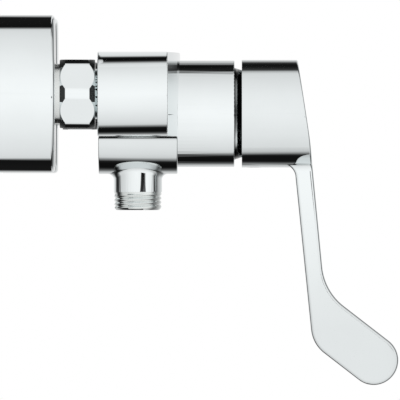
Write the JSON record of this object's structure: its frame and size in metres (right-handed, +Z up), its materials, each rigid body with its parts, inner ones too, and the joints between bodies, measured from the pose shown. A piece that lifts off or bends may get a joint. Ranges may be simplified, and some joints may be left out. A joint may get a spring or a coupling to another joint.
{
  "type": "shower mixer",
  "caption": "Exposed wall-mounted single-lever shower mixer with a long elbow lever, eccentric wall unions, rosettes and a threaded outlet below.",
  "frame": {"origin": "midway between the two water outlets in the wall, on the finished wall face", "axes": "+X out from the wall, +Y along the wall towards the cold inlet (right when facing the wall), +Z up"},
  "size_m": [0.1977, 0.219, 0.1628],
  "materials": {
    "chrome": "polished chrome plate",
    "chrome_thread": "chrome plate over a cut thread",
    "chrome_union": "chrome plate, duller than the body",
    "brass": "machined",
    "steel": "machined stainless steel",
    "rubber": "moulded rubber",
    "cartridge_plastic": "moulded plastic, fine grain",
    "carrier_plastic": "moulded plastic, fine grain",
    "plug_plastic": "smooth grey plastic",
    "ceramic": "lapped alumina"
  },
  "bodies": {
    "mixer": {"wall_union_left": "chrome_union", "wall_rosette_left": "chrome", "filter_washer_left": "rubber", "inlet_nipple_left": "chrome", "wall_union_right": "chrome_union", "wall_rosette_right": "chrome", "filter_washer_right": "rubber", "inlet_nipple_right": "chrome", "mixer_body": "chrome", "cartridge_base": "cartridge_plastic", "port_seals": "rubber", "fixed_disc": "ceramic", "cartridge_housing": "cartridge_plastic", "temperature_stop_ring": "cartridge_plastic", "clamp_nut": "brass", "cover_ring": "chrome", "outlet_nipple": "chrome_thread", "outlet_ring_seal": "rubber", "check_valve_housing": "cartridge_plastic", "check_valve_ring_seal": "rubber", "check_valve_spring": "steel"},
    "nut_left": {"union_nut_left": "chrome"},
    "nut_right": {"union_nut_right": "chrome"},
    "carrier": {"spindle_carrier": "carrier_plastic", "pivot_pin": "steel"},
    "handle": {"lever_handle": "chrome", "spindle": "steel", "grub_screw": "steel", "index_plug": "plug_plastic"},
    "disc_slide": {"moving_disc": "ceramic", "disc_slider": "cartridge_plastic"},
    "valve_poppet": {"check_valve_poppet": "cartridge_plastic"}
  },
  "joints": [
    {"name": "temperature_swivel", "type": "hinge", "parent": "mixer", "child": "carrier", "pos_m": [0.0925, 0, -0.0008], "axis": [1, 0, 0], "range_deg": [-50, 50]},
    {"name": "flow_tilt", "type": "hinge", "parent": "carrier", "child": "handle", "pos_m": [0.0925, 0, -0.0008], "axis": [0, -1, 0], "range_deg": [0, 25]},
    {"name": "disc_travel", "type": "slide", "parent": "carrier", "child": "disc_slide", "axis": [0, 0, -1], "range_m": [0, 0.0039]},
    {"name": "nut_left_turn", "type": "hinge", "parent": "mixer", "child": "nut_left", "pos_m": [0.0266, -0.075, 0.0075], "axis": [1, 0, 0], "continuous": true},
    {"name": "nut_right_turn", "type": "hinge", "parent": "mixer", "child": "nut_right", "pos_m": [0.0266, 0.075, 0.0075], "axis": [1, 0, 0], "continuous": true},
    {"name": "check_valve_lift", "type": "slide", "parent": "mixer", "child": "valve_poppet", "axis": [0, 0, -1], "range_m": [0, 0.0026], "stiffness_N_per_m": 120, "springref_m": -0.004, "deforming": ["check_valve_spring"]}
  ],
  "couplings": [
    {"joint": "disc_travel", "follows": "flow_tilt", "m_per_rad": 0.0089288}
  ]
}
